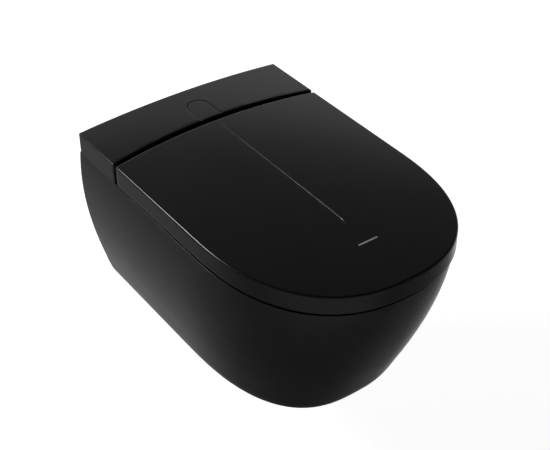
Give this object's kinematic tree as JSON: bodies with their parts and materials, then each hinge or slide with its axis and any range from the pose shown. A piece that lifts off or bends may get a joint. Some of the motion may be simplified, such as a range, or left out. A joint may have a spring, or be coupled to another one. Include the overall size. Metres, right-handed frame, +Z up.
{
  "type": "wall-hung shower toilet",
  "caption": "Black wall-hung toilet with a built-in washing unit: ceramic bowl, hinged lid and seat, rear cover with a push button, and a telescopic spray arm.",
  "frame": {"origin": "midway between the two wall bolts, on the wall plane", "axes": "+Y into the wall along the bolts, +X to the right seen from the front, +Z up"},
  "size_m": [0.3904, 0.591, 0.338],
  "materials": {
    "ceramic": "satin black glaze",
    "shell_plastic": "semi-gloss black duroplast",
    "inner_plastic": "matt dark grey",
    "unit_plastic": "matt grey",
    "rubber": "matt",
    "steel": "brushed",
    "chrome": "polished",
    "brass": "machined",
    "hose": "satin silicone",
    "board": "solder mask",
    "white_plastic": "gloss",
    "acetal": "natural acetal"
  },
  "bodies": {
    "pan": {"ceramic_pan": "ceramic", "flush_collar": "rubber", "fixing_sleeves": "unit_plastic", "tray_seal": "rubber", "base_tray": "unit_plastic", "tray_screws": "steel", "rear_cover": "shell_plastic", "cover_clips": "unit_plastic", "button_spring": "steel", "button_switch": "inner_plastic", "lid_dampers": "acetal", "seat_dampers": "acetal", "hinge_block_right": "inner_plastic", "hinge_block_left": "inner_plastic", "hinge_screws": "steel", "arm_guide": "unit_plastic", "arm_motor": "steel", "water_heater": "white_plastic", "water_pump": "inner_plastic", "inlet_valve": "brass", "inlet_hose": "hose", "heater_hose": "hose", "spray_hose": "hose", "control_board": "board", "board_screws": "steel", "board_chips": "inner_plastic", "power_supply": "inner_plastic", "mains_gland": "inner_plastic"},
    "lid": {"lid_shell": "shell_plastic", "lid_liner": "inner_plastic", "lid_badge": "chrome", "lid_bumpers": "rubber", "lid_hinge_arm_right": "inner_plastic", "lid_hinge_arm_left": "inner_plastic", "lid_pins": "steel"},
    "seat": {"seat_ring": "shell_plastic", "seat_bumpers": "rubber", "seat_pins": "steel"},
    "button": {"push_button": "shell_plastic"},
    "spray_stage": {"spray_arm": "white_plastic", "arm_rack": "acetal"},
    "nozzle": {"nozzle_tube": "white_plastic", "nozzle_tip": "white_plastic"},
    "pinion": {"drive_pinion": "acetal"}
  },
  "joints": [
    {"name": "lid_hinge", "type": "hinge", "parent": "pan", "child": "lid", "pos_m": [0, -0.127, 0.105], "axis": [-1, 0, 0], "range_deg": [0, 97]},
    {"name": "seat_hinge", "type": "hinge", "parent": "pan", "child": "seat", "pos_m": [0, -0.127, 0.105], "axis": [-1, 0, 0], "range_deg": [0, 97]},
    {"name": "button_press", "type": "slide", "parent": "pan", "child": "button", "axis": [0, 0, -1], "range_m": [0, 0.0025], "stiffness_N_per_m": 600, "springref_m": -0.0015, "deforming": ["button_spring"]},
    {"name": "arm_extend", "type": "slide", "parent": "pan", "child": "spray_stage", "axis": [0, -0.9511, -0.309], "range_m": [0, 0.055]},
    {"name": "nozzle_extend", "type": "slide", "parent": "spray_stage", "child": "nozzle", "axis": [0, -0.9511, -0.309], "range_m": [0, 0.055]},
    {"name": "pinion_spin", "type": "hinge", "parent": "pan", "child": "pinion", "pos_m": [0, -0.07758, 0.06458], "axis": [1, 0, 0], "range_deg": [0, 400]}
  ],
  "couplings": [
    {"joint": "seat_hinge", "follows": "lid_hinge", "ratio": 1},
    {"joint": "nozzle_extend", "follows": "arm_extend", "ratio": 1},
    {"joint": "pinion_spin", "follows": "arm_extend", "rad_per_m": 125}
  ]
}
